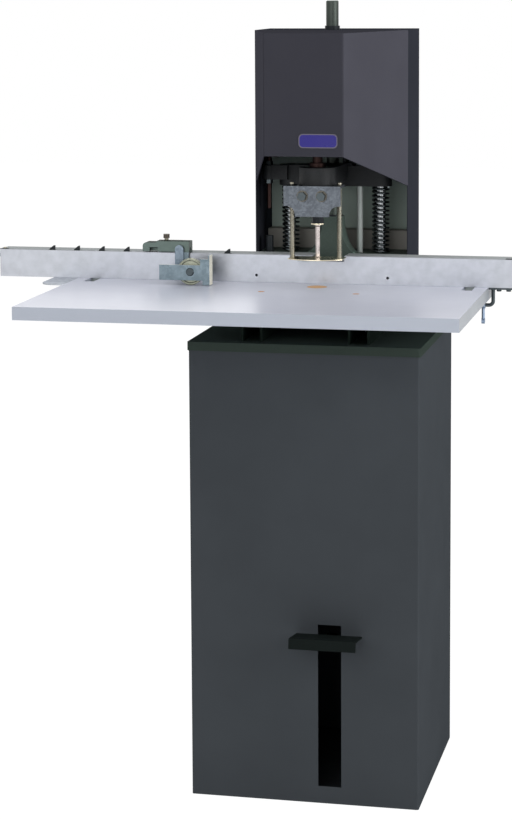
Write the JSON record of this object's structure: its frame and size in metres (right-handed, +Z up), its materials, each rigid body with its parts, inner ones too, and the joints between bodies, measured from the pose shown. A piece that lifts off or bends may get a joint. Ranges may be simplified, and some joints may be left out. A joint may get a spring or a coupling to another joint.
{
  "type": "paper drill",
  "caption": "Floor-standing single-spindle paper drill with pedestal, foot pedal, laminate table, sliding fence and side guide.",
  "frame": {"origin": "on the floor under the middle of the pedestal", "axes": "+Z up, +X to the operator's right, -Y towards the operator; the drill's axis is upright in the plane X = 0"},
  "size_m": [1.006, 0.6468, 1.483],
  "materials": {
    "pedestal_paint": "satin powder coat",
    "housing_paint": "satin powder coat",
    "cover_paint": "satin powder coat",
    "casting_paint": "semi-matte enamel on cast iron",
    "base_paint": "grey-green enamel on cast iron",
    "laminate": "semi-gloss laminate on board",
    "aluminium": "brushed, clear anodised",
    "zinc_plate": "bright zinc plated",
    "steel": "turned and ground",
    "black_steel": "black oxide",
    "spring_steel": "oiled spring wire",
    "brass": "pale brass",
    "drill_steel": "polished tool steel",
    "spindle_steel": "oiled, brownish steel",
    "yellow_zinc": "yellow passivated zinc",
    "ram_steel": "dull grey-green steel",
    "belt_rubber": "moulded rubber",
    "block_resin": "pressed fibre board",
    "plug_wood": "sanded wood plug",
    "motor_enamel": "semi-gloss enamel"
  },
  "bodies": {
    "root": {"base_plate": "pedestal_paint", "pedestal": "pedestal_paint", "rear_panel": "pedestal_paint", "pedestal_lid": "pedestal_paint", "pedal_brackets": "steel", "pedal_shaft": "steel", "base_casting": "base_paint", "table_brackets": "black_steel", "table_board": "laminate", "table_screws": "steel", "screw_plugs": "plug_wood", "drilling_block": "block_resin", "rear_housing": "housing_paint", "housing_screws": "black_steel", "head_cover": "cover_paint", "ram_bushings": "black_steel", "guide_posts": "steel", "return_springs": "spring_steel", "depth_stop_post": "black_steel"},
    "head": {"head_casting": "casting_paint", "ram": "ram_steel", "pull_rod": "steel", "lock_nuts": "steel", "rod_pin": "steel", "spindle_bearings": "steel", "presser_bracket": "zinc_plate", "bracket_bolts": "steel", "depth_screw": "spindle_steel", "motor": "motor_enamel", "motor_mount": "black_steel", "drive_belt": "belt_rubber", "presser_springs": "brass"},
    "spindle": {"spindle": "spindle_steel", "chuck": "black_steel", "drill_bit": "drill_steel", "spindle_pulley": "aluminium"},
    "motor_rotor": {"motor_shaft": "steel", "motor_pulley": "aluminium"},
    "presser": {"presser_rods": "brass", "presser_foot": "brass"},
    "pedal": {"pedal_arm": "black_steel", "pedal_tread": "black_steel"},
    "fence": {"fence": "aluminium", "fence_guide_blocks": "steel", "fence_guide_plate": "zinc_plate", "clamp_strap": "zinc_plate", "strap_bolts": "steel", "clamp_rod": "steel"},
    "clamp_lever": {"clamp_lever": "zinc_plate"},
    "side_guide": {"stop_carriage": "zinc_plate", "guide_bracket": "zinc_plate", "wheel_axle": "steel"},
    "guide_wheel": {"guide_wheel": "yellow_zinc"},
    "thumb_screw": {"thumb_screw": "brass"},
    "trip_lever": {"trip_lever": "zinc_plate"},
    "stop_finger_1": {"stop_finger_1": "black_steel"},
    "stop_finger_2": {"stop_finger_2": "black_steel"},
    "stop_finger_3": {"stop_finger_3": "black_steel"},
    "stop_finger_4": {"stop_finger_4": "black_steel"},
    "stop_finger_5": {"stop_finger_5": "black_steel"}
  },
  "joints": [
    {"name": "head_slide", "type": "slide", "parent": "root", "child": "head", "axis": [0, 0, -1], "range_m": [0, 0.0525], "stiffness_N_per_m": 3000, "springref_m": -0.13, "deforming": ["return_springs"]},
    {"name": "pedal_hinge", "type": "hinge", "parent": "root", "child": "pedal", "pos_m": [0.0485, 0.196, 0.185], "axis": [1, 0, 0], "range_deg": [0, 34.42]},
    {"name": "presser_slide", "type": "slide", "parent": "head", "child": "presser", "axis": [0, 0, 1], "range_m": [0, 0.0505], "stiffness_N_per_m": 600, "springref_m": -0.05, "deforming": ["presser_springs"]},
    {"name": "spindle_spin", "type": "hinge", "parent": "head", "child": "spindle", "pos_m": [0, -0.066, 1.1], "axis": [0, 0, 1], "continuous": true},
    {"name": "motor_spin", "type": "hinge", "parent": "head", "child": "motor_rotor", "pos_m": [0.075, 0.135, 1.3], "axis": [0, 0, 1], "continuous": true},
    {"name": "fence_slide", "type": "slide", "parent": "root", "child": "fence", "axis": [0, -1, 0], "range_m": [-0.033, 0.022]},
    {"name": "clamp_lever_swing", "type": "hinge", "parent": "fence", "child": "clamp_lever", "pos_m": [0.3045, -0.0054, 0.914], "axis": [1, 0, 0], "range_deg": [-85, 85]},
    {"name": "side_guide_slide", "type": "slide", "parent": "fence", "child": "side_guide", "axis": [1, 0, 0], "range_m": [-0.26, 0.12]},
    {"name": "guide_wheel_spin", "type": "hinge", "parent": "side_guide", "child": "guide_wheel", "pos_m": [-0.239, -0.0934, 0.976], "axis": [0, 1, 0], "continuous": true},
    {"name": "thumb_screw_turn", "type": "hinge", "parent": "side_guide", "child": "thumb_screw", "pos_m": [-0.308, -0.0114, 1.03], "axis": [0, 0, 1], "continuous": true},
    {"name": "trip_lever_tilt", "type": "hinge", "parent": "side_guide", "child": "trip_lever", "pos_m": [-0.276, -0.0377, 0.985], "axis": [0, 1, 0], "range_deg": [-25, 25], "stiffness_Nm_per_rad": 0.2},
    {"name": "stop_finger_1_slide", "type": "slide", "parent": "fence", "child": "stop_finger_1", "axis": [1, 0, 0], "range_m": [-0.018, 0.018]},
    {"name": "stop_finger_2_slide", "type": "slide", "parent": "fence", "child": "stop_finger_2", "axis": [1, 0, 0], "range_m": [-0.018, 0.018]},
    {"name": "stop_finger_3_slide", "type": "slide", "parent": "fence", "child": "stop_finger_3", "axis": [1, 0, 0], "range_m": [-0.018, 0.018]},
    {"name": "stop_finger_4_slide", "type": "slide", "parent": "fence", "child": "stop_finger_4", "axis": [1, 0, 0], "range_m": [-0.018, 0.018]},
    {"name": "stop_finger_5_slide", "type": "slide", "parent": "fence", "child": "stop_finger_5", "axis": [1, 0, 0], "range_m": [-0.018, 0.018]}
  ],
  "couplings": [
    {"joint": "pedal_hinge", "follows": "head_slide", "rad_per_m": 11.411},
    {"joint": "motor_spin", "follows": "spindle_spin", "ratio": 1.1},
    {"joint": "guide_wheel_spin", "follows": "side_guide_slide", "rad_per_m": 39.216}
  ]
}
